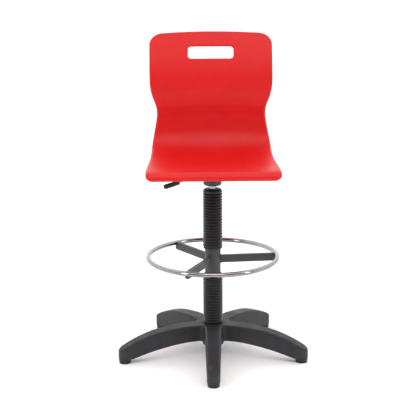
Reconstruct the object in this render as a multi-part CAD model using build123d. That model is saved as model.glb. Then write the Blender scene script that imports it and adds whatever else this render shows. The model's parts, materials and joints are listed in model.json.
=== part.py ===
from build123d import *

import math
import os

# Drafting chair: a five-arm base on glides, a high gas lift, a foot ring clamped to the
# column between two bellows, and a one-piece moulded seat shell. Millimetres. The origin is
# on the floor under the column's axis, +Z is up and the seat faces -Y, at its lowest height.

# --- driving dimensions ---------------------------------------------------------------------
RUNNING = 0.05             # radial clearance of a running fit

COLUMN_R = 25.0            # outer tube of the gas lift
COLUMN_INNER_R = 23.5
COLUMN_Z = (48.0, 556.0)
COLUMN_TAPER_TOP = 112.0   # the column's foot narrows below this
COLUMN_FOOT_R = 24.0
CYLINDER_R = 14.0          # pressure cylinder, which carries the seat
CYLINDER_BORE = 12.5
CYLINDER_Z = (98.0, 636.0)
CONE_BOTTOM = 592.0        # the cylinder tapers from here up, into the seat's socket
CONE_TOP_R = 13.0
ROD_R = 5.0
SPIGOT_R = 4.0
BEARING_Z = 58.0           # underside of the thrust bearing
PISTON_Z = (404.0, 418.0)

BASE_TURN = -1.0           # the base stands turned by this much under the seat
ARM_COUNT = 5
GLIDE_REACH = 311.6        # column axis to glide axis
ARM_TIP_R = 21.5
ARM_ROOT_HALF = 30.0       # half the width an arm would have at the column's axis
ARM_TIP_Z = 16.0
HUB_TOP = 110.0
HUB_BOTTOM = 34.0
HUB_R = 36.0
NYLON_WALL = 4.5
SLEEVE_R = 29.0            # steel sleeve in the hub
GLIDE_STEM_R = 5.5

RING_R = 217.0             # foot ring, to the middle of its tube
RING_TUBE_R = 8.0
RING_WALL = 1.5
RING_Z = 341.6
RING_TURN = 5.3            # direction of the first spoke
SPOKE_COUNT = 3
SPOKE_THICK = 10.0
SPOKE_Z = (321.0, 347.0)
HUB_TUBE_R = 26.5
HUB_TUBE_Z = (262.0, 392.0)
KNOB_TURN = 89.0           # direction of the clamping knob, behind the column
KNOB_Z = 301.0
STUD_R = 4.0

LOWER_BELLOWS_Z = (110.0, 278.0)
UPPER_BELLOWS_Z = (376.0, 566.0)
BELLOWS_WALL = 1.6
CUFF_R = 29.4              # inside of a bellows' end cuffs

PLATE_Z = (630.0, 633.0)
PLATE_SIZE = (176.0, 150.0)
BOLT_PLACES = [(x, y) for x in (-68, 68) for y in (-56, 56)]
BOLT_R = 3.0
SOCKET_R = 30.5
SOCKET_BOTTOM = 590.0
PIVOT_X = -36.0            # lever pivot
LEVER_Z = 646.3
LEVER_ROD_R = 4.0

SHELL_WALL = 4.5
SHELL_TOP = 1075.5
SHELL_CROWN = 9.0          # how much lower the top edge is at its corners
SHELL_BACK_HALF = 209.0
SHELL_FRONT = -208.0
SHELL_FRONT_HALF = 216.5
BACK_CORNER_R = 48.0
FRONT_CORNER_R = 42.0
SLOT_SIZE = (155.0, 38.0)
SLOT_CORNER_R = 11.0
SLOT_Z = 1003.0
BOSS_R = 10.0
INSERT_R = 4.5

# Stations along the middle of the seat shell, from the foot of its front lip to the top of
# its back: y, z, heading above +Y in degrees, half width, and how far its sides rise.
SHELL_STATIONS = (
    (-208, 646, 90, 214, 0.5),
    (-207, 658, 84, 215, 0.5),
    (-198, 670, 30, 216.3, 0.5),
    (-180, 673.5, 0, 216.8, 1),
    (-110, 667, -6, 216.1, 6),
    (-30, 661, -2, 213.4, 9),
    (50, 661, 3, 208.3, 11),
    (115, 671, 15, 204.6, 13),
    (160, 692, 38, 203.6, 15),
    (187, 735, 72, 195, 18),
    (189, 785, 92, 186.2, 20),
    (185.4, 812, 97, 184.4, 21),
    (182, 830, 96, 187.3, 22),
    (178, 870, 92, 204.5, 24),
    (180.3, 900, 84, 209, 24),
    (184, 925, 79, 209, 23.5),
    (196, 970, 73, 209, 22),
    (213, 1020, 70, 209, 18),
    (241, 1090, 66, 209, 14),
)
STATION_STEPS = 20         # points walked from one station to the next
LIP_RUN = 66.0             # end of the lip and its corners, along the shell
SEAT_RUN = 500.0           # end of the seat and its bend, along the shell

ARM_ANGLES = [-90 + BASE_TURN + 360 / ARM_COUNT * i for i in range(ARM_COUNT)]
SPOKE_ANGLES = [RING_TURN + 360 / SPOKE_COUNT * i for i in range(SPOKE_COUNT)]


# --- helpers --------------------------------------------------------------------------------
def turned(*outline):
    """A solid of revolution about Z from (radius, height) corners."""
    return revolve(make_face(Plane.XZ * Polyline(*outline, close=True)), Axis.Z)


def tube(inner, outer, low, high):
    """A plain round tube on the column's axis."""
    return turned((inner, low), (outer, low), (outer, high), (inner, high))


def bar(radius, low, high):
    """A plain round bar on the column's axis."""
    return Pos(0, 0, low) * Cylinder(radius, high - low, align=(Align.CENTER, Align.CENTER, Align.MIN))


def slab(low, high):
    """A box between two corners."""
    size = [b - a for a, b in zip(low, high)]
    middle = [(a + b) / 2 for a, b in zip(low, high)]
    return Pos(*middle) * Box(*size)


def along_x(shape, height):
    """Lays a shape made on +Z down along +X at a height."""
    return Pos(0, 0, height) * Rot(0, 90, 0) * shape


def radial(shape, angle, reach=0.0):
    """Carries a shape out along +X to a reach, and round to an angle."""
    return Rot(0, 0, angle) * Pos(reach, 0, 0) * shape


def save(name, *solids):
    """Writes one node: a single piece, or a set of identical pieces as separate solids."""
    shape = solids[0] if len(solids) == 1 else Compound(children=list(solids))
    export_step(shape, f"parts/{name}.step")


# --- star base ------------------------------------------------------------------------------
def star_side(lift):
    """The base's height all round, turned about the axis; lift lowers its top skin by a wall."""
    under = [
        Line((0, HUB_BOTTOM), (HUB_R, HUB_BOTTOM)),
        Line((HUB_R, HUB_BOTTOM), (HUB_R, 44)),
        Spline((HUB_R, 44), (48, 54), (78, 56), tangents=((0, 1), (1, 0))),
        Spline((78, 56), (112, 54.5), (165, 47.5), (225, 35), (290, ARM_TIP_Z)),
        Line((290, ARM_TIP_Z), (340, ARM_TIP_Z)),
    ]
    over = [
        Line((340, ARM_TIP_Z), (340, 34)),
        Spline(
            (95, HUB_TOP), (152, 106), (201, 99), (243, 88), (280, 74), (311, 59), (340, 34),
            tangents=((1, 0), (0.5, -1)),
        ),
        Line((95, HUB_TOP), (0, HUB_TOP)),
        Line((0, HUB_TOP), (0, HUB_BOTTOM)),
    ]
    return Pos(0, 0, -lift) * revolve(make_face(Plane.XZ * Wire(under + over)), Axis.Z)


def star_plan(inset):
    """The star from above, inset by a wall, with the webs between its arms rounded."""
    tip = ARM_TIP_R - inset
    root = ARM_ROOT_HALF - inset
    arm = make_face(Polyline((0, -root), (GLIDE_REACH, -tip), (GLIDE_REACH, tip), (0, root), close=True))
    arm += Pos(GLIDE_REACH, 0) * Circle(tip)
    star = Circle(42 - inset)
    for angle in ARM_ANGLES:
        star += Rot(0, 0, angle) * arm
    webs = [v for v in star.vertices() if math.hypot(v.X, v.Y) < 70]
    return fillet(webs, 16 + inset)


def is_crest(edge):
    """Whether a curved edge runs along the top skin, where it meets an upright wall."""
    middle = edge.center()
    reach = math.hypot(middle.X, middle.Y)
    return edge.geom_type != GeomType.LINE and middle.Z > 62 - 0.02 * reach


def make_star_base():
    """The moulded nylon base: arms hollow underneath, with ribs, a hub bore and glide sockets."""
    body = extrude(star_plan(0), 150) & star_side(0)
    body = fillet(body.edges().filter_by(is_crest), 7)
    hollow = extrude(star_plan(NYLON_WALL), HUB_TOP - NYLON_WALL) & star_side(NYLON_WALL)
    hollow -= bar(40, 0, 150)
    for angle in ARM_ANGLES:
        hollow -= radial(bar(10, 0, 150), angle, GLIDE_REACH)
        hollow -= radial(slab((30, -1.5, 0), (GLIDE_REACH, 1.5, 150)), angle)
        for reach in (90, 140, 190, 240, 280):
            hollow -= radial(slab((reach - 1.5, -40, 0), (reach + 1.5, 40, 150)), angle)
    body -= hollow
    body -= bar(SLEEVE_R, 46, 150) + bar(23, 0, 60)
    for angle in ARM_ANGLES:
        body -= radial(bar(GLIDE_STEM_R + 0.6, 0, 44), angle, GLIDE_REACH)
    return body


def make_base():
    """The base, its hub sleeve and the five glides with their stems and grip rings."""
    save("star_base", make_star_base())
    sleeve = turned((COLUMN_FOOT_R, 48), (SLEEVE_R, 46), (SLEEVE_R, HUB_TOP), (COLUMN_R, HUB_TOP))
    save("hub_sleeve", sleeve)
    foot = turned(
        (0, 0), (18.5, 0), (19.5, 1), (19.5, 5.5), (17.5, 6.5), (17.5, 8), (20.5, 9), (20.5, 14.5),
        (19, ARM_TIP_Z), (GLIDE_STEM_R, ARM_TIP_Z), (GLIDE_STEM_R, 4), (0, 4),
    )
    stem = bar(GLIDE_STEM_R, 4, 42)
    groove = tube(GLIDE_STEM_R - 1, GLIDE_STEM_R + 1, 30, 33)
    grip = tube(GLIDE_STEM_R - 1, GLIDE_STEM_R + 0.6, 30, 33)
    for number, angle in enumerate(ARM_ANGLES, 1):
        save(f"glide_{number}", radial(foot, angle, GLIDE_REACH))
    save("glide_stems", *[radial(stem - groove, angle, GLIDE_REACH) for angle in ARM_ANGLES])
    save("stem_grip_rings", *[radial(grip, angle, GLIDE_REACH) for angle in ARM_ANGLES])


# --- gas lift -------------------------------------------------------------------------------
def make_column():
    """The outer tube with its closed foot, the guide bush, the cap and the thrust bearing."""
    low, high = COLUMN_Z
    save("column_tube", turned(
        (COLUMN_FOOT_R - 1.5, low), (COLUMN_FOOT_R, low), (COLUMN_R, HUB_TOP), (COLUMN_R, high),
        (COLUMN_INNER_R, high), (COLUMN_INNER_R, COLUMN_TAPER_TOP), (COLUMN_FOOT_R - 1.5, COLUMN_TAPER_TOP),
    ))
    save("column_end_plate", tube(SPIGOT_R + RUNNING, COLUMN_FOOT_R - 1.5, BEARING_Z - 4, BEARING_Z))
    save("guide_bush", tube(CYLINDER_R + RUNNING, COLUMN_INNER_R, high - 110, high))
    cap_side = [
        Line((COLUMN_R, high - 8), (27.5, high - 8)),
        Line((27.5, high - 8), (27.5, high + 10)),
        Line((27.5, high + 10), (31.6, high + 10)),
        Line((31.6, high + 10), (31.6, high + 13)),
        EllipticalCenterArc((22, high + 13), 9.6, 8, start_angle=0, arc_size=90),
        Line((22, high + 21), (CYLINDER_R + 0.4, high + 21)),
        Line((CYLINDER_R + 0.4, high + 21), (CYLINDER_R + 0.4, high + 1)),
        Line((CYLINDER_R + 0.4, high + 1), (COLUMN_R, high + 1)),
        Line((COLUMN_R, high + 1), (COLUMN_R, high - 8)),
    ]
    save("column_cap", revolve(make_face(Plane.XZ * Wire(cap_side)), Axis.Z))
    save("thrust_washer_lower", tube(5, 14, BEARING_Z, BEARING_Z + 2))
    ball_places = [radial(Pos(0, 0, BEARING_Z + 4), 36 * i, 10) for i in range(10)]
    cage = tube(6.5, 13.5, BEARING_Z + 3.4, BEARING_Z + 4.6)
    for place in ball_places:
        cage -= place * Sphere(2.1)
    save("ball_cage", cage)
    save("thrust_balls", *[place * Sphere(2) for place in ball_places])


def make_lift_rod():
    """The piston rod, which stands on the thrust bearing, and what is on it."""
    shoulder = BEARING_Z + 8
    clip_z = BEARING_Z - 6.2
    rod = bar(SPIGOT_R, clip_z - 2, shoulder) + bar(ROD_R, shoulder, PISTON_Z[0])
    rod += bar(SPIGOT_R, PISTON_Z[0], PISTON_Z[1] + 4)
    save("piston_rod", rod - tube(SPIGOT_R - 0.8, SPIGOT_R + 2, clip_z, clip_z + 1.2))
    clip = tube(SPIGOT_R - 0.8, 7.5, clip_z, clip_z + 1.2) - slab((0, -2.6, 0), (20, 2.6, 100))
    save("rod_clip", clip)
    save("rod_washer", tube(SPIGOT_R, 9, clip_z + 1.2, BEARING_Z - 4))
    save("thrust_washer_upper", tube(SPIGOT_R, 14, BEARING_Z + 6, shoulder))
    save("stop_buffer", tube(ROD_R, 11, shoulder, shoulder + 14))
    low, high = PISTON_Z
    piston = tube(SPIGOT_R, CYLINDER_BORE - RUNNING, low, high)
    save("piston", piston - tube(10.5, CYLINDER_BORE, low + 5, high - 5))
    save("piston_seal", tube(10.5, CYLINDER_BORE - RUNNING, low + 5, high - 5))
    save("piston_nut", bar(7, high, high + 4) - bar(SPIGOT_R, 0, high + 4))


def make_cylinder():
    """The pressure cylinder with its rod guide and seal, and the valve in its head."""
    low, high = CYLINDER_Z
    save("gas_cylinder", turned(
        (CYLINDER_BORE, low), (CYLINDER_R, low), (CYLINDER_R, CONE_BOTTOM), (CONE_TOP_R, high),
        (BOLT_R + RUNNING, high), (BOLT_R + RUNNING, 600), (CYLINDER_BORE, 600),
    ))
    save("rod_guide", tube(ROD_R + RUNNING, CYLINDER_BORE, low, low + 20))
    save("rod_seal", tube(ROD_R + RUNNING, CYLINDER_BORE, low + 20, low + 28))
    save("valve_block", tube(BOLT_R + RUNNING, CYLINDER_BORE, 582, 600))
    pin = bar(BOLT_R, 586, high + 5) + Pos(0, 0, high + 5) * (Sphere(BOLT_R) & slab((-5, -5, 0), (5, 5, 1)))
    save("release_pin", pin)


# --- foot ring ------------------------------------------------------------------------------
def bellows(low, high, ribs, crest, valley, top_cuff):
    """A corrugated sleeve of even ribs between two plain cuffs."""
    cuff = 6
    pitch = (high - low - 2 * cuff) / ribs
    outer = [(valley, low), (valley, low + cuff)]
    for i in range(ribs):
        outer += [(crest, low + cuff + (i + 0.5) * pitch), (valley, low + cuff + (i + 1) * pitch)]
    outer += [(valley, high)]
    inner = [(radius - BELLOWS_WALL, z) for radius, z in outer[2:-2]]
    ends_up = [(top_cuff, high), (top_cuff, high - cuff)]
    ends_down = [(CUFF_R, low + cuff), (CUFF_R, low)]
    return turned(*outer, *ends_up, *reversed(inner), *ends_down)


def make_bellows():
    """The two sleeves that cover the column below and above the foot ring's hub."""
    save("lower_bellows", bellows(*LOWER_BELLOWS_Z, 17, 33.8, 31.4, CUFF_R))
    save("upper_bellows", bellows(*UPPER_BELLOWS_Z, 19, 33.4, 30.6, 27.5))
    inner = HUB_TUBE_R + RUNNING
    low = LOWER_BELLOWS_Z[1]
    save("lower_collar", turned(
        (inner, low - 12), (CUFF_R, low - 12), (CUFF_R, low), (33.2, low), (28, low + 8), (inner, low + 8),
    ))
    high = UPPER_BELLOWS_Z[0]
    save("upper_collar", turned((inner, high - 3), (31.4, high - 3), (31.4, high), (CUFF_R, high),
                                (CUFF_R, high + 12), (inner, high + 12)))


def make_foot_ring():
    """The hub tube that slides on the column, three spokes, the ring and their welds."""
    hub = tube(COLUMN_R + RUNNING, HUB_TUBE_R, *HUB_TUBE_Z)
    stud_hole = radial(along_x(bar(STUD_R + RUNNING, 0, 60), KNOB_Z), KNOB_TURN)
    save("ring_hub", hub - stud_hole)
    ring_tube = Pos(0, 0, RING_Z) * Torus(RING_R, RING_TUBE_R)
    save("foot_ring", ring_tube - Pos(0, 0, RING_Z) * Torus(RING_R, RING_TUBE_R - RING_WALL))
    low, high = SPOKE_Z
    spoke = slab((HUB_TUBE_R - 3, -SPOKE_THICK / 2, low), (RING_R - 5, SPOKE_THICK / 2, high))
    foot_edge = spoke.edges().filter_by(Axis.Y).sort_by(lambda e: e.center().X - e.center().Z)[-1]
    half = SPOKE_THICK / 2 + 2
    bead = slab((HUB_TUBE_R - 3, -half, low - 2), (HUB_TUBE_R + 2.5, half, high + 2))
    bead = chamfer(bead.faces().sort_by(Axis.X)[-1].edges(), 1.8) - spoke - bar(HUB_TUBE_R, 0, 500)
    spoke = fillet(foot_edge, 6) - bar(HUB_TUBE_R, 0, 500) - ring_tube
    for number, angle in enumerate(SPOKE_ANGLES, 1):
        save(f"spoke_{number}", radial(spoke, angle))
    save("spoke_welds", *[radial(bead, angle) for angle in SPOKE_ANGLES])


def make_clamp():
    """The boss on the hub, and the hand screw that presses a pad against the column."""
    boss = along_x(bar(8, 20, 40) - bar(STUD_R + RUNNING, 0, 60), KNOB_Z) - bar(HUB_TUBE_R, 0, 500)
    save("clamp_boss", radial(boss, KNOB_TURN))
    pad = along_x(bar(STUD_R, COLUMN_R + 0.1, COLUMN_R + 2.2), KNOB_Z)
    save("clamp_pad", radial(pad, KNOB_TURN))
    stud = along_x(bar(STUD_R, COLUMN_R + 2.2, 62), KNOB_Z)
    save("clamp_stud", radial(stud, KNOB_TURN))
    lobes = Circle(13)
    for i in range(6):
        lobes += Rot(0, 0, 60 * i) * Pos(12, 0) * Circle(5.5)
    knob = Pos(0, 0, 50) * extrude(fillet([v for v in lobes.vertices()], 2), 16)
    knob = fillet(knob.faces().sort_by(Axis.Z)[-1].edges(), 2)
    knob += bar(8.5, 44, 50)
    save("clamp_knob", radial(along_x(knob - bar(STUD_R, 0, 62), KNOB_Z), KNOB_TURN))


# --- seat mechanism -------------------------------------------------------------------------
def make_mechanism():
    """The socket on the lift's cone, the plate under the shell, and the lever's bracket."""
    low, high = PLATE_Z
    slope = (CYLINDER_R - CONE_TOP_R) / (CYLINDER_Z[1] - CONE_BOTTOM)
    save("taper_socket", turned(
        (CYLINDER_R, SOCKET_BOTTOM), (SOCKET_R - 3, SOCKET_BOTTOM), (SOCKET_R, SOCKET_BOTTOM + 4),
        (SOCKET_R, low), (CYLINDER_R - slope * (low - CONE_BOTTOM), low), (CYLINDER_R, CONE_BOTTOM),
    ))
    plate = extrude(RectangleRounded(*PLATE_SIZE, 14), high - low)
    plate = Pos(0, 0, low) * plate - bar(14.5, 0, 700)
    plate -= slab((-100, -13, 0), (PIVOT_X - 11, 13, 700))
    for x, y in BOLT_PLACES:
        plate -= Pos(x, y) * bar(BOLT_R + 0.3, 0, 700)
    for side in (-1, 1):
        edge = side * PLATE_SIZE[1] / 2
        plate += slab((-74, min(edge, edge - 3 * side), low - 9), (74, max(edge, edge - 3 * side), low))
    save("mounting_plate", plate)
    triangle = Polyline((SOCKET_R, low), (SOCKET_R + 24, low), (SOCKET_R, low - 24), close=True)
    gusset = extrude(Plane.XZ * make_face(triangle), 1.5, both=True) - bar(SOCKET_R, 0, 700)
    save("socket_gussets", *[Rot(0, 0, 45 + 90 * i) * gusset for i in range(4)])
    ear = slab((PIVOT_X - 10, 7, high), (PIVOT_X + 10, 9, LEVER_Z + 6))
    bracket = ear + mirror(ear, Plane.XZ)
    for side in (-1, 1):
        bracket += slab((PIVOT_X - 10, min(7 * side, 17 * side), high),
                        (PIVOT_X + 10, max(7 * side, 17 * side), high + 2))
    pin = Pos(PIVOT_X, 0, LEVER_Z) * Rot(90, 0, 0) * Cylinder(2.5, 21)
    save("lever_bracket", bracket - pin)
    save("lever_pivot_pin", pin)


def make_lever():
    """The cranked release lever: a round rod on the pivot and a moulded grip on its end."""
    route = FilletPolyline((5, LEVER_Z), (-47, LEVER_Z), (-104, 600.5), (-150, 586), radius=12)
    path = Plane.XZ * route
    start = Plane(origin=(5, 0, LEVER_Z), z_dir=(-1, 0, 0))
    rod = sweep(start * Circle(LEVER_ROD_R), path=path)
    hub = Pos(PIVOT_X, 0, LEVER_Z) * Rot(90, 0, 0) * Cylinder(5.5, 13.6)
    rod = rod + hub - Pos(PIVOT_X, 0, LEVER_Z) * Rot(90, 0, 0) * Cylinder(2.5 + RUNNING, 30)
    save("lever_rod", rod)
    grip = turned((0, 0), (7, 0), (7.5, 3), (8.4, 46), (7.6, 51), (5, 54), (0, 55.2))
    downhill = math.degrees(math.atan2(14.5, 46))
    grip = Pos(-110, 0, 598.6) * Rot(0, -90 - downhill, 0) * grip
    save("lever_grip", grip - rod)


def make_fixings():
    """Four screws with washers, which pull the shell down onto the plate, and their inserts."""
    low, high = PLATE_Z
    washer = tube(BOLT_R, 7.5, low - 1.6, low)
    head = extrude(RegularPolygon(5.8, 6), 4)
    bolt = Pos(0, 0, low - 5.6) * head + bar(BOLT_R, low - 2, high + 14)
    insert = tube(BOLT_R, 4.5, high, high + 15)
    save("seat_bolts", *[Pos(x, y) * bolt for x, y in BOLT_PLACES])
    save("bolt_washers", *[Pos(x, y) * washer for x, y in BOLT_PLACES])
    save("shell_inserts", *[Pos(x, y) * insert for x, y in BOLT_PLACES])


# --- seat shell -----------------------------------------------------------------------------
def direction(heading):
    """The way a heading in degrees points, as (y, z)."""
    return Vector(math.cos(math.radians(heading)), math.sin(math.radians(heading)))


def shell_line():
    """Points along the shell's middle: run, y, z, heading, half width and rise of the sides."""
    points = []
    run = 0.0
    place = Vector(*SHELL_STATIONS[0][:2])
    for first, second in zip(SHELL_STATIONS, SHELL_STATIONS[1:]):
        start, end = Vector(*first[:2]), Vector(*second[:2])
        chord = (end - start).length
        leave, arrive = chord * direction(first[2]), chord * direction(second[2])
        for i in range(STATION_STEPS):
            t = i / STATION_STEPS
            last = place
            place = (start * ((1 - t) ** 2 * (1 + 2 * t)) + leave * (t * (1 - t) ** 2)
                     + end * (t * t * (3 - 2 * t)) - arrive * (t * t * (1 - t)))
            way = ((end - start) * (6 * t * (1 - t)) + leave * ((1 - t) * (1 - 3 * t))
                   + arrive * (t * (3 * t - 2)))
            run += (place - last).length
            half, rise = (a + (b - a) * t for a, b in zip(first[3:], second[3:]))
            points.append((run, place.X, place.Y, math.degrees(math.atan2(way.Y, way.X)), half, rise))
    return points


def shell_section(y, z, heading, half, rise):
    """One cross section of the shell: a shallow arc with a wall under it, square to its run."""
    way = direction(heading)
    plane = Plane(origin=(0, y, z), x_dir=(1, 0, 0), z_dir=(0, -way.X, -way.Y))
    low = rise - SHELL_WALL
    return plane * make_face(Wire([
        ThreePointArc((-half, rise), (0, 0), (half, rise)),
        Line((half, rise), (half, low)),
        ThreePointArc((half, low), (0, -SHELL_WALL), (-half, low)),
        Line((-half, low), (-half, rise)),
    ]))


def shell_stretch(line, start, end, count):
    """The stretch of the shell between two runs, lofted through evenly spaced sections."""
    sections = []
    for i in range(count + 1):
        run = start + (end - start) * i / count
        nearest = min(line, key=lambda point: abs(point[0] - run))
        sections.append(shell_section(*nearest[1:]))
    return loft(sections)


def corner_cutter(x, y, radius, side):
    """What lies outside a rounded corner whose square corner is at (x, y), on either side."""
    block = Pos(x - radius + 30, y - radius + 30) * Rectangle(60, 60)
    cutter = block - Pos(x - radius, y - radius) * Circle(radius)
    return cutter if side > 0 else mirror(cutter, Plane.YZ)


def through_back(outline):
    """A cutter which goes through the back along +Y."""
    return Pos(0, 130, 0) * extrude(Plane.XZ * outline, -150)


def make_seat_shell():
    """The moulded shell: a lip, a seat and a back in one wall, with a hand slot and four bosses."""
    line = shell_line()
    lip = shell_stretch(line, 0, LIP_RUN, 8)
    seat = shell_stretch(line, LIP_RUN, SEAT_RUN, 14)
    back = shell_stretch(line, SEAT_RUN, line[-1][0], 12)
    back -= through_back(Pos(0, SLOT_Z) * RectangleRounded(*SLOT_SIZE, SLOT_CORNER_R))
    edge, corner, over = SHELL_BACK_HALF + 30, SHELL_TOP - SHELL_CROWN, SHELL_TOP + 40
    above = Wire([
        ThreePointArc((-edge, corner), (0, SHELL_TOP), (edge, corner)),
        Line((edge, corner), (edge, over)),
        Line((edge, over), (-edge, over)),
        Line((-edge, over), (-edge, corner)),
    ])
    back -= through_back(make_face(above))
    for side in (-1, 1):
        back -= through_back(corner_cutter(SHELL_BACK_HALF + 2.5, SHELL_TOP - 6, BACK_CORNER_R, side))
        outside = Rot(180, 0, 0) * corner_cutter(SHELL_FRONT_HALF + 3, 2 - SHELL_FRONT, FRONT_CORNER_R, side)
        lip -= Pos(0, 0, 600) * extrude(outside, -120)
    for x, y in BOLT_PLACES:
        seat += Pos(x, y) * bar(BOSS_R, PLATE_Z[1], 662)
        seat -= Pos(x, y) * bar(INSERT_R, 0, PLATE_Z[1] + 15)
    save("seat_shell", seat + lip + back)


def make_all():
    """Writes every node."""
    os.makedirs("parts", exist_ok=True)
    make_base()
    make_column()
    make_lift_rod()
    make_cylinder()
    make_bellows()
    make_foot_ring()
    make_clamp()
    make_mechanism()
    make_lever()
    make_fixings()
    make_seat_shell()


make_all()
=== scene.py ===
import bmesh
import bpy
import json
import math

from mathutils import Matrix, Vector
from mathutils.geometry import delaunay_2d_cdt


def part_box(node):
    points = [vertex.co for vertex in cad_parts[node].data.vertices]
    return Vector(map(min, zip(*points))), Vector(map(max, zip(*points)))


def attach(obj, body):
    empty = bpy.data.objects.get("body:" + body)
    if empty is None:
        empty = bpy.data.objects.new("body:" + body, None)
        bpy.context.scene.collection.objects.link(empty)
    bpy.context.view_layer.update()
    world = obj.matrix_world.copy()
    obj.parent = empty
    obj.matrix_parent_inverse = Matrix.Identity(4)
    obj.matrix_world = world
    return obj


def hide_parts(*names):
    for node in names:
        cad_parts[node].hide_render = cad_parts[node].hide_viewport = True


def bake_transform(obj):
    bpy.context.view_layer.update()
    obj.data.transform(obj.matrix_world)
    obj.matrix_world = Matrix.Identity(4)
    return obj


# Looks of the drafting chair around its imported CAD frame. Metres, +Z up, the seat faces -Y.

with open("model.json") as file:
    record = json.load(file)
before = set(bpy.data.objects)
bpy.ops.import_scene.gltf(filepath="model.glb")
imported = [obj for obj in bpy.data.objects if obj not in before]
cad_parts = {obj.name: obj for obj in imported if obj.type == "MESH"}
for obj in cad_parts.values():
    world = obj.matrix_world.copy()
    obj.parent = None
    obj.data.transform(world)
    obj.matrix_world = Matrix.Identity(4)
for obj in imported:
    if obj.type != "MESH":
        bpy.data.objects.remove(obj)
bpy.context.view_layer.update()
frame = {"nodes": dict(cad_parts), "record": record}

MM = 0.001


# --- materials ------------------------------------------------------------------------------
MOTTLE, GLOSS_PATCHES = 14, 30         # scales of noise, per metre
METAL_PATCHES, METAL_GRAIN = 40, 260
EDGE_WEAR = 0.35                       # how far an edge goes towards its worn colour
WEAR_START, WEAR_END = 0.50, 0.56      # how sharp an edge is where wear starts, and where it is full


def new_material(name):
    """An empty material with a Principled shader: its nodes, its links and the shader."""
    material = bpy.data.materials.new(name)
    material.use_nodes = True
    tree = material.node_tree
    shader = tree.nodes["Principled BSDF"]
    return material, tree.nodes, tree.links, shader


def noise(nodes, links, scale, detail, stretch=(1, 1, 1)):
    """Object-space noise of a scale per metre; gives its 0-1 output."""
    where = nodes.new("ShaderNodeTexCoord")
    mapping = nodes.new("ShaderNodeMapping")
    mapping.inputs["Scale"].default_value = stretch
    texture = nodes.new("ShaderNodeTexNoise")
    texture.inputs["Scale"].default_value = scale
    texture.inputs["Detail"].default_value = detail
    texture.inputs["Roughness"].default_value = 0.55
    links.new(where.outputs["Object"], mapping.inputs["Vector"])
    links.new(mapping.outputs["Vector"], texture.inputs["Vector"])
    return texture.outputs["Fac"]


def spread(nodes, links, value, low, high, start=0.35, end=0.65):
    """Maps a 0-1 value onto a range of numbers."""
    ramp = nodes.new("ShaderNodeMapRange")
    ramp.inputs["From Min"].default_value = start
    ramp.inputs["From Max"].default_value = end
    ramp.inputs["To Min"].default_value = low
    ramp.inputs["To Max"].default_value = high
    links.new(value, ramp.inputs["Value"])
    return ramp.outputs["Result"]


def tint(nodes, links, value, low, high, start=0.35, end=0.65):
    """Maps a 0-1 value onto a run between two colours."""
    ramp = nodes.new("ShaderNodeValToRGB")
    ramp.color_ramp.elements[0].position = start
    ramp.color_ramp.elements[0].color = (*low, 1)
    ramp.color_ramp.elements[1].position = end
    ramp.color_ramp.elements[1].color = (*high, 1)
    links.new(value, ramp.inputs["Fac"])
    return ramp.outputs["Color"]


def bump(nodes, links, shader, value, height, strength=0.4):
    """Raises the surface by a value, to a height in metres."""
    node = nodes.new("ShaderNodeBump")
    node.inputs["Strength"].default_value = strength
    node.inputs["Distance"].default_value = height
    links.new(value, node.inputs["Height"])
    links.new(node.outputs["Normal"], shader.inputs["Normal"])


def worn_edges(nodes, links):
    """How worn a place is, from 0 on flats to EDGE_WEAR on edges that stick out."""
    geometry = nodes.new("ShaderNodeNewGeometry")
    return spread(nodes, links, geometry.outputs["Pointiness"], 0.0, EDGE_WEAR, WEAR_START, WEAR_END)


def moulded(name, low, high, gloss, grain, grain_height, specular, wear=None):
    """A moulded plastic or paint: mottled colour, uneven gloss, a fine grain and worn edges."""
    material, nodes, links, shader = new_material(name)
    colour = tint(nodes, links, noise(nodes, links, MOTTLE, 4), low, high, 0.3, 0.7)
    if wear:
        mix = nodes.new("ShaderNodeMix")
        mix.data_type = "RGBA"
        links.new(worn_edges(nodes, links), mix.inputs["Factor"])
        links.new(colour, mix.inputs["A"])
        mix.inputs["B"].default_value = (*wear, 1)
        colour = mix.outputs["Result"]
    links.new(colour, shader.inputs["Base Color"])
    patches = noise(nodes, links, GLOSS_PATCHES, 5)
    links.new(spread(nodes, links, patches, *gloss, 0.3, 0.7), shader.inputs["Roughness"])
    shader.inputs["Specular IOR Level"].default_value = specular
    bump(nodes, links, shader, noise(nodes, links, grain, 2), grain_height)
    return material


def metal(name, low, high, gloss, brush, height):
    """A bare or plated metal: uneven colour and gloss, and fine marks stretched by brush."""
    material, nodes, links, shader = new_material(name)
    patches = noise(nodes, links, METAL_PATCHES, 4)
    links.new(tint(nodes, links, patches, low, high), shader.inputs["Base Color"])
    fine = noise(nodes, links, METAL_GRAIN, 3, brush)
    links.new(spread(nodes, links, fine, *gloss), shader.inputs["Roughness"])
    shader.inputs["Metallic"].default_value = 1.0
    bump(nodes, links, shader, fine, height, 0.25)
    return material


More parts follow.
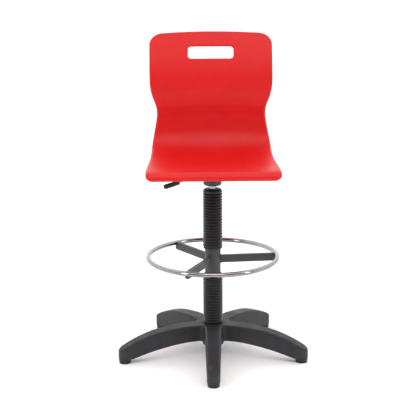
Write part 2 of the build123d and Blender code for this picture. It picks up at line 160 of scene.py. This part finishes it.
def make_materials():
    """Every material, by the record's slot."""
    worn_black = (0.06, 0.06, 0.064)
    return {
        "red_shell": moulded(
            "red_polypropylene", (0.60, 0.003, 0.004), (0.64, 0.004, 0.005), gloss=(0.40, 0.48),
            grain=2200, grain_height=0.00012, specular=0.34),
        "black_nylon": moulded(
            "black_nylon", (0.012, 0.012, 0.014), (0.017, 0.017, 0.020), gloss=(0.45, 0.58),
            grain=1400, grain_height=0.0003, specular=0.3, wear=worn_black),
        "bellows_plastic": moulded(
            "bellows_plastic", (0.008, 0.008, 0.010), (0.012, 0.012, 0.014), gloss=(0.36, 0.46),
            grain=1700, grain_height=0.0001, specular=0.4),
        "glide_plastic": moulded(
            "glide_plastic", (0.010, 0.010, 0.012), (0.018, 0.018, 0.020), gloss=(0.35, 0.5),
            grain=1500, grain_height=0.00015, specular=0.5),
        "chrome": metal(
            "bright_chrome", (0.27, 0.27, 0.275), (0.34, 0.34, 0.345), gloss=(0.04, 0.08),
            brush=(1, 1, 1), height=0.00002),
        "dark_paint": moulded(
            "powder_coat", (0.011, 0.011, 0.013), (0.016, 0.015, 0.018), gloss=(0.40, 0.52),
            grain=900, grain_height=0.00025, specular=0.5, wear=worn_black),
        "steel": metal(
            "zinc_plated_steel", (0.50, 0.50, 0.51), (0.62, 0.62, 0.63), gloss=(0.25, 0.42),
            brush=(1, 1, 8), height=0.00003),
        "aluminium": metal(
            "machined_aluminium", (0.70, 0.70, 0.71), (0.80, 0.80, 0.81), gloss=(0.22, 0.34),
            brush=(1, 1, 12), height=0.00003),
        "brass": metal(
            "brass", (0.62, 0.46, 0.20), (0.72, 0.55, 0.26), gloss=(0.22, 0.36),
            brush=(1, 1, 8), height=0.00003),
        "rubber": moulded(
            "black_rubber", (0.014, 0.014, 0.014), (0.022, 0.022, 0.022), gloss=(0.6, 0.75),
            grain=900, grain_height=0.0002, specular=0.4),
        "white_acetal": moulded(
            "white_acetal", (0.72, 0.71, 0.67), (0.80, 0.79, 0.75), gloss=(0.32, 0.42),
            grain=1500, grain_height=0.0001, specular=0.5),
    }


MATERIALS = make_materials()
NODE_SLOT = {part["node"]: part["material_slot"] for part in frame["record"]["subparts"]}


def dress_cad_nodes():
    """Gives every CAD node its slot's material."""
    for name, node in frame["nodes"].items():
        node.data.materials.clear()
        node.data.materials.append(MATERIALS[NODE_SLOT[name]])


def add_piece(name, vertices, faces, body, slot, replaced, sharp=35):
    """A new visible mesh piece which stands for CAD nodes and rides on its body, if it has one."""
    mesh = bpy.data.meshes.new(name)
    mesh.from_pydata(vertices, [], faces)
    mesh.validate()
    mesh.shade_smooth()
    if sharp:
        mesh.set_sharp_from_angle(angle=math.radians(sharp))
    mesh.materials.append(MATERIALS[slot])
    piece = bpy.data.objects.new(name, mesh)
    bpy.context.scene.collection.objects.link(piece)
    if body:
        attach(piece, body)
    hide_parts(*replaced)
    return piece


# --- turned pieces --------------------------------------------------------------------------
RIB_DEPTH = 4.6 * MM         # from a crest of the bellows down to a valley
RIB_POWER = 1.7              # below 2 the crests are wider than the valleys
RIB_STEPS = 12
CUFF = 2 * MM                # plain length at each end of a bellows
BELLOWS_WALL = 1.4 * MM
RING_AROUND, RING_SECTION = 256, 32


def lathe(outline, segments=96):
    """Vertices and faces of a closed outline of (radius, height) points turned about Z."""
    count = len(outline)
    vertices = []
    for j in range(segments):
        turn = 2 * math.pi * j / segments
        vertices += [(r * math.cos(turn), r * math.sin(turn), z) for r, z in outline]
    faces = []
    for j in range(segments):
        here, there = j * count, (j + 1) % segments * count
        for i in range(count):
            k = (i + 1) % count
            faces.append((here + i, there + i, there + k, here + k))
    return vertices, faces


def bellows_outline(low, high, ribs, crest):
    """A corrugated sleeve's section: up the ribs outside from its foot, and down again inside."""
    valley = crest - RIB_DEPTH
    pitch = (high - low - 2 * CUFF) / ribs
    outer = [(valley, low), (valley, low + CUFF * 0.6)]
    for i in range(ribs * RIB_STEPS + 1):
        phase = i / RIB_STEPS
        swell = abs(math.sin(math.pi * phase)) ** RIB_POWER
        outer.append((valley + (crest - valley) * swell, low + CUFF + phase * pitch))
    outer += [(valley, high - CUFF * 0.6), (valley, high)]
    inner = [(r - BELLOWS_WALL, z) for r, z in outer]
    return outer + inner[::-1]


def make_bellows():
    """The two corrugated sleeves, turned in place between the base and the foot ring's collars."""
    for name, ribs, fixed_low in (("lower_bellows", 17, True), ("upper_bellows", 19, False)):
        low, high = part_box(name)
        vertices, faces = lathe(bellows_outline(low.z, high.z, ribs, high.x))
        piece = add_piece(name + "_ribbed", vertices, faces, None, "bellows_plastic", [name], sharp=60)
        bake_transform(piece)


def make_foot_ring():
    """The chrome foot ring as a fine smooth torus."""
    low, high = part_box("foot_ring")
    tube = (high.z - low.z) / 2
    reach = high.x - tube
    middle = (low.z + high.z) / 2
    outline = []
    for i in range(RING_SECTION):
        turn = 2 * math.pi * i / RING_SECTION
        outline.append((reach + tube * math.cos(turn), middle + tube * math.sin(turn)))
    vertices, faces = lathe(outline, RING_AROUND)
    add_piece("chrome_foot_ring", vertices, faces, "foot_ring", "chrome", ["foot_ring"], sharp=0)


# --- seat shell -----------------------------------------------------------------------------
# Stations along the middle of the shell, from the foot of its lip to its top, in millimetres:
# y, z, heading above +Y in degrees, half width, and how far the sides rise.
STATIONS = (
    (-208, 646, 90, 214.5, 0.5),
    (-207, 658, 84, 215.3, 0.5),
    (-198, 670, 30, 216.3, 0.5),
    (-180, 673.5, 0, 216.8, 1),
    (-110, 667, -6, 216.1, 6),
    (-30, 661, -2, 213.4, 9),
    (50, 661, 3, 208.3, 11),
    (115, 671, 15, 204.6, 13),
    (160, 692, 38, 202.6, 15),
    (187, 735, 72, 195, 18),
    (189, 785, 92, 186.2, 20),
    (185.4, 812, 97, 184.4, 21),
    (182, 830, 96, 187.3, 22),
    (178, 870, 92, 203.8, 24),
    (180.3, 900, 84, 209, 24),
    (184, 925, 79, 209, 23.5),
    (196, 970, 73, 209, 22),
    (213, 1020, 70, 209, 18),
    (241, 1090, 66, 209, 14),
)
STEP_RUN = 2.5                         # spacing of the points walked along the middle
SPAN_STEPS = 40                        # points walked between two stations
WIDTH_PASSES, RISE_PASSES, WAY_PASSES = 40, 60, 8    # how often each table is evened out
TOP_Z, BACK_HALF = 1075.5, 209.0
CROWN, CROWN_FADE = 14.0, 130.0        # the top's sides are lower, and that fades out over a length
TOP_CORNER, FRONT_CORNER = 42.0, 20.0
SLOT_HALF, SLOT_RISE, SLOT_ROUND, SLOT_MIDDLE = 77.5, 20.0, 11.0, 1005.5
WALL = 4.5
EDGE_ROLL, EDGE_FLANGE = 8.0, 4.0      # the rolled rim, and how far it runs on
SLOT_ROLL, SLOT_FLANGE = 5.0, 3.0
ROLL_STEPS, FLANGE_STEPS, CORNER_STEPS = 8, 3, 10
END_STEPS, SIDE_STEPS, SLOT_STEPS = 24, 140, 12      # points along the rim's straights
FRONT_STRAIGHT = 0.82                  # share of the front edge before its corner
GRID_START, GRID_STEP, GRID_HALF = 6.0, 4.5, 40      # rows of points over the face
GRID_MARGIN = 2.0                      # these points stay clear of the rims
EDGE_OVERLAP, SLOT_OVERLAP = 0.5, 0.3  # triangles this far into a rim are still kept
SEAT_SPOT = Vector((0, 0, 0.661))      # a place on top of the seat, in metres

BOSS_BORE_R, BOSS_R, BOSS_FOOT, BOSS_TOP = 4.5, 10, 633.3, 658
BOLT_X, BOLT_Y = 68, 56


def heading_vector(heading):
    """The (y, z) direction of a heading in degrees above +Y."""
    return Vector((math.cos(math.radians(heading)), math.sin(math.radians(heading))))


def walk_stations():
    """Close points along the shell's middle: (run, y, z, half width, rise)."""
    raw = []
    run = 0.0
    place = Vector(STATIONS[0][:2])
    for first, second in zip(STATIONS, STATIONS[1:]):
        start, end = Vector(first[:2]), Vector(second[:2])
        chord = (end - start).length
        leave, arrive = chord * heading_vector(first[2]), chord * heading_vector(second[2])
        for i in range(SPAN_STEPS):
            t = i / SPAN_STEPS
            last = place
            place = (start * ((1 - t) ** 2 * (1 + 2 * t)) + leave * (t * (1 - t) ** 2)
                     + end * (t * t * (3 - 2 * t)) - arrive * (t * t * (1 - t)))
            run += (place - last).length
            ease = t * t * (3 - 2 * t)
            half = first[3] + (second[3] - first[3]) * t
            rise = first[4] + (second[4] - first[4]) * ease
            raw.append((run, place.x, place.y, half, rise))
    return raw


def smooth(values, passes):
    """Evens a list of numbers out, keeping its ends."""
    for _ in range(passes):
        middle = [(a + 2 * b + c) / 4 for a, b, c in zip(values, values[1:], values[2:])]
        values = [values[0], *middle, values[-1]]
    return values


class ShellSurface:
    """The face that is sat on: unrolled (across, run) coordinates to a point in space."""

    def __init__(self):
        raw = walk_stations()
        count = int(raw[-1][0] / STEP_RUN)
        rows = []
        k = 0
        for i in range(count):
            run = i * STEP_RUN
            while raw[k + 1][0] < run:
                k += 1
            t = (run - raw[k][0]) / (raw[k + 1][0] - raw[k][0])
            rows.append([a + (b - a) * t for a, b in zip(raw[k], raw[k + 1])])
        self.ys = [row[1] for row in rows]
        self.zs = [row[2] for row in rows]
        self.halves = smooth([row[3] for row in rows], WIDTH_PASSES)
        self.rises = smooth([row[4] for row in rows], RISE_PASSES)
        ways = []
        for i in range(count):
            before, after = max(i - 1, 0), min(i + 1, count - 1)
            way = Vector((self.ys[after] - self.ys[before], self.zs[after] - self.zs[before]))
            ways.append(way.normalized())
        self.wys = smooth([way.x for way in ways], WAY_PASSES)
        self.wzs = smooth([way.y for way in ways], WAY_PASSES)

    def at(self, table, run):
        """A table's value at a run, between its even points."""
        spot = min(max(run / STEP_RUN, 0), len(table) - 1.001)
        i = int(spot)
        return table[i] + (table[i + 1] - table[i]) * (spot - i)

    def run_at_height(self, height):
        """The run up the back at which the middle reaches a height."""
        i = len(self.zs) - 1
        while self.zs[i] > height:
            i -= 1
        return (i + (height - self.zs[i]) / (self.zs[i + 1] - self.zs[i])) * STEP_RUN

    def point(self, across, run, drop=0.0):
        """The place in space, in metres, of an unrolled point, drop below the face."""
        half = self.at(self.halves, run)
        rise = self.at(self.rises, run) * (across / half) ** 2 - drop
        way = Vector((self.at(self.wys, run), self.at(self.wzs, run))).normalized()
        y = self.at(self.ys, run) - way.y * rise
        z = self.at(self.zs, run) + way.x * rise
        return Vector((across, y, z)) * MM


def corner_walk(x, run, radius, first, last):
    """Points round a corner's centre from one angle to another, in degrees."""
    points = []
    for i in range(CORNER_STEPS + 1):
        turn = math.radians(first + (last - first) * i / CORNER_STEPS)
        points.append((x + radius * math.cos(turn), run + radius * math.sin(turn)))
    return points


def outline_loop(surface, top_run, inset):
    """The shell's unrolled outline moved in by an inset, once round from the front's middle."""
    front_half = surface.at(surface.halves, 0)
    side = [(front_half * i / END_STEPS * FRONT_STRAIGHT, inset) for i in range(END_STEPS)]
    for x, run in corner_walk(0, FRONT_CORNER, FRONT_CORNER - inset, -90, 0):
        side.append((surface.at(surface.halves, run) - FRONT_CORNER + x, run))
    low, high = FRONT_CORNER, top_run - TOP_CORNER
    for i in range(1, SIDE_STEPS):
        run = low + (high - low) * i / SIDE_STEPS
        side.append((surface.at(surface.halves, run) - inset, run))
    for x, run in corner_walk(0, high, TOP_CORNER - inset, 0, 90):
        side.append((surface.at(surface.halves, run) - TOP_CORNER + x, run))
    top_half = side[-1][0]
    side += [(top_half * (END_STEPS - i) / END_STEPS, top_run - inset) for i in range(1, END_STEPS + 1)]
    return side + [(-x, run) for x, run in side[-2:0:-1]]


def slot_loop(middle, rise, out):
    """The hand slot's unrolled outline moved out by a distance, once round."""
    points = []
    radius = SLOT_ROUND + out
    for x, run, first in ((1, 1, 0), (-1, 1, 90), (-1, -1, 180), (1, -1, 270)):
        centre_x, centre_run = x * (SLOT_HALF - SLOT_ROUND), middle + run * (rise - SLOT_ROUND)
        points += corner_walk(centre_x, centre_run, radius, first, first + 90)
        if run * x > 0:
            straight = centre_run + run * radius
            points += [(centre_x * (1 - i / SLOT_STEPS), straight) for i in range(1, 2 * SLOT_STEPS)]
    return points


def roll_profile(radius, flange):
    """How a rim turns down: (distance from the edge, drop) from the flat out to its foot."""
    rings = []
    for i in range(ROLL_STEPS + 1):
        turn = math.radians(90 * i / ROLL_STEPS)
        rings.append((radius * (1 - math.sin(turn)), radius * (1 - math.cos(turn))))
    return rings + [(0, radius + flange * i / FLANGE_STEPS) for i in range(1, FLANGE_STEPS + 1)]


def inside(half, x, run, margin, top_run):
    """Whether an unrolled point is inside the outline by a margin, where the shell is half wide."""
    from_side = half - abs(x)
    from_end = min(run, top_run - run)
    radius = FRONT_CORNER if run < top_run / 2 else TOP_CORNER
    if from_side < radius and from_end < radius:
        return math.hypot(radius - from_side, radius - from_end) < radius - margin
    return from_side > margin and from_end > margin


def outside_slot(x, run, middle, rise, margin):
    """Whether an unrolled point is clear of the hand slot by a margin."""
    over_x = max(abs(x) - SLOT_HALF + SLOT_ROUND, 0)
    over_run = max(abs(run - middle) - rise + SLOT_ROUND, 0)
    return math.hypot(over_x, over_run) > SLOT_ROUND + margin


def flat_triangles(surface, top_run, middle, rise, outer, slot):
    """Triangulates the face inside the outer loop and outside the slot loop."""

    def on_face(x, run, edge_margin, slot_margin):
        half = surface.at(surface.halves, run)
        in_outline = inside(half, x, run, edge_margin, top_run)
        return in_outline and outside_slot(x, run, middle, rise, slot_margin)

    points = [Vector(p) for p in outer + slot]
    edges = []
    for start, count in ((0, len(outer)), (len(outer), len(slot))):
        edges += [(start + i, start + (i + 1) % count) for i in range(count)]
    run = GRID_START
    while run < top_run:
        half = surface.at(surface.halves, run)
        for i in range(-GRID_HALF, GRID_HALF + 1):
            x = half * i / GRID_HALF
            if on_face(x, run, EDGE_ROLL + GRID_MARGIN, SLOT_ROLL + GRID_MARGIN):
                points.append(Vector((x, run)))
        run += GRID_STEP
    verts, _, faces, _, _, _ = delaunay_2d_cdt(points, edges, [], 0, 1e-6)
    kept = []
    for face in faces:
        x, run = sum((verts[i] for i in face), Vector((0, 0))) / 3
        if on_face(x, run, EDGE_ROLL - EDGE_OVERLAP, SLOT_ROLL - SLOT_OVERLAP):
            kept.append(tuple(face))
    return verts, kept


def add_rim(vertices, faces, first, rings):
    """Joins the loop that starts at a vertex to each ring of points in turn."""
    count = len(rings[0])
    before = list(range(first, first + count))
    for ring in rings:
        here = list(range(len(vertices), len(vertices) + count))
        vertices += ring
        for i in range(count):
            k = (i + 1) % count
            faces.append((before[i], here[i], here[k], before[k]))
        before = here


def turn_faces_up(mesh):
    """Makes the faces agree, with the seat's top facing up."""
    work = bmesh.new()
    work.from_mesh(mesh)
    bmesh.ops.recalc_face_normals(work, faces=work.faces)
    seat_face = min(work.faces, key=lambda face: (face.calc_center_median() - SEAT_SPOT).length)
    if seat_face.normal.z < 0:
        bmesh.ops.reverse_faces(work, faces=work.faces)
    work.to_mesh(mesh)
    work.free()


def make_seat_shell():
    """The red shell: one smooth moulded face with rolled rims, given its wall by Solidify."""
    surface = ShellSurface()
    top_run = surface.run_at_height(TOP_Z)
    low, high = (surface.run_at_height(SLOT_MIDDLE + side * SLOT_RISE) for side in (-1, 1))
    middle, rise = (low + high) / 2, (high - low) / 2
    edge = roll_profile(EDGE_ROLL, EDGE_FLANGE)
    hole = roll_profile(SLOT_ROLL, SLOT_FLANGE)
    outer = outline_loop(surface, top_run, edge[0][0])
    slot = slot_loop(middle, rise, hole[0][0])
    flat, faces = flat_triangles(surface, top_run, middle, rise, outer, slot)

    def place(x, run, drop):
        lean = min(max((run - top_run + CROWN_FADE) / CROWN_FADE, 0), 1)
        return surface.point(x, run - CROWN * lean * (x / BACK_HALF) ** 2, drop)

    vertices = [place(p.x, p.y, 0) for p in flat]
    edge_rings = [[place(x, run, drop) for x, run in outline_loop(surface, top_run, inset)]
                  for inset, drop in edge[1:]]
    slot_rings = [[place(x, run, drop) for x, run in slot_loop(middle, rise, out)]
                  for out, drop in hole[1:]]
    add_rim(vertices, faces, 0, edge_rings)
    add_rim(vertices, faces, len(outer), slot_rings)
    piece = add_piece("moulded_seat_shell", vertices, faces, "seat", "red_shell", ["seat_shell"], sharp=0)
    turn_faces_up(piece.data)
    wall = piece.modifiers.new("wall", "SOLIDIFY")
    wall.thickness = WALL * MM
    wall.offset = -1
    wall.use_even_offset = True


def make_shell_bosses():
    """The four bosses under the seat which take the bolts."""
    corners = ((BOSS_BORE_R, BOSS_FOOT), (BOSS_R, BOSS_FOOT), (BOSS_R, BOSS_TOP), (BOSS_BORE_R, BOSS_TOP))
    ring, around = lathe([(r * MM, z * MM) for r, z in corners], 32)
    vertices, faces = [], []
    for x in (-BOLT_X, BOLT_X):
        for y in (-BOLT_Y, BOLT_Y):
            first = len(vertices)
            vertices += [(px + x * MM, py + y * MM, pz) for px, py, pz in ring]
            faces += [tuple(first + i for i in face) for face in around]
    add_piece("shell_bosses", vertices, faces, "seat", "red_shell", ["seat_shell"])


# --- stage ----------------------------------------------------------------------------------
FLOOR_HALF = 200
FLOOR_COLOUR = (0.98, 0.98, 0.98, 1)
ROOM_LIGHT, FRONT_LIGHT = 1.42, 0.04
ROOM_LEAN = 0.6                        # how far the bright part leans down towards the back
ROOM_EDGE = (-0.02, 0.20)              # where the dark part ends and the bright part begins
SOFT_BOXES = (                         # name, place, aim, size and power in watts
    ("front_box", (0, -2.3, 3.0), (0, 0.1, 0.9), (1.8, 1.0), 16),
    ("left_box", (-2.2, -1.9, 1.1), (0, 0, 0.6), (0.5, 2.0), 14),
    ("right_box", (2.4, -1.5, 1.1), (0, 0, 0.6), (0.4, 2.0), 12),
)


def make_floor():
    """A plain pale floor."""
    mesh = bpy.data.meshes.new("floor")
    corners = [(-1, -1), (1, -1), (1, 1), (-1, 1)]
    mesh.from_pydata([(x * FLOOR_HALF, y * FLOOR_HALF, 0) for x, y in corners], [], [(0, 1, 2, 3)])
    floor = bpy.data.objects.new("floor", mesh)
    bpy.context.scene.collection.objects.link(floor)
    material, _, _, shader = new_material("pale_floor")
    shader.inputs["Base Color"].default_value = FLOOR_COLOUR
    shader.inputs["Roughness"].default_value = 0.9
    shader.inputs["Specular IOR Level"].default_value = 0.1
    mesh.materials.append(material)


def area_light(name, place, aim, size, power):
    """A soft box aimed at a point."""
    light = bpy.data.lights.new(name, "AREA")
    light.shape = "RECTANGLE"
    light.size, light.size_y = size
    light.energy = power
    lamp = bpy.data.objects.new(name, light)
    lamp.location = place
    lamp.rotation_mode = "QUATERNION"
    lamp.rotation_quaternion = (Vector(aim) - Vector(place)).to_track_quat("-Z", "Y")
    bpy.context.scene.collection.objects.link(lamp)


def make_world():
    """A room that is bright overhead and behind the chair, and dark low in front of it."""
    world = bpy.data.worlds.new("studio")
    bpy.context.scene.world = world
    world.use_nodes = True
    nodes, links = world.node_tree.nodes, world.node_tree.links
    where = nodes.new("ShaderNodeTexCoord")
    split = nodes.new("ShaderNodeSeparateXYZ")
    links.new(where.outputs["Generated"], split.inputs["Vector"])
    lean = nodes.new("ShaderNodeMath")
    lean.operation = "MULTIPLY_ADD"
    links.new(split.outputs["Y"], lean.inputs[0])
    lean.inputs[1].default_value = ROOM_LEAN
    links.new(split.outputs["Z"], lean.inputs[2])
    ramp = nodes.new("ShaderNodeMapRange")
    ramp.interpolation_type = "SMOOTHSTEP"
    ramp.inputs["From Min"].default_value = ROOM_EDGE[0]
    ramp.inputs["From Max"].default_value = ROOM_EDGE[1]
    ramp.inputs["To Min"].default_value = FRONT_LIGHT
    ramp.inputs["To Max"].default_value = ROOM_LIGHT
    links.new(lean.outputs["Value"], ramp.inputs["Value"])
    background = nodes["Background"]
    background.inputs["Color"].default_value = (1, 1, 1, 1)
    links.new(ramp.outputs["Result"], background.inputs["Strength"])


def make_camera():
    """The camera, four metres in front of the chair and looking a little down at it."""
    distance, height = 3.993, 1.501
    aside = -0.0154
    azimuth = math.radians(-1.0)
    pitch_down = math.radians(13.94)
    roll = math.radians(-0.28)
    data = bpy.data.cameras.new("camera")
    data.sensor_width = 36
    data.lens = 106.6
    data.clip_end = 500
    camera = bpy.data.objects.new("camera", data)
    bpy.context.scene.collection.objects.link(camera)
    turn = Matrix.Rotation(azimuth, 4, "Z")
    place = Matrix.Translation((aside, -distance, height))
    look = Matrix.Rotation(math.pi / 2 - pitch_down, 4, "X") @ Matrix.Rotation(roll, 4, "Z")
    camera.matrix_world = turn @ place @ look
    bpy.context.scene.camera = camera


make_floor()
make_world()
for soft_box in SOFT_BOXES:
    area_light(*soft_box)
make_camera()
bpy.context.scene.view_settings.view_transform = "Standard"

dress_cad_nodes()
make_bellows()
make_foot_ring()
make_seat_shell()
make_shell_bosses()
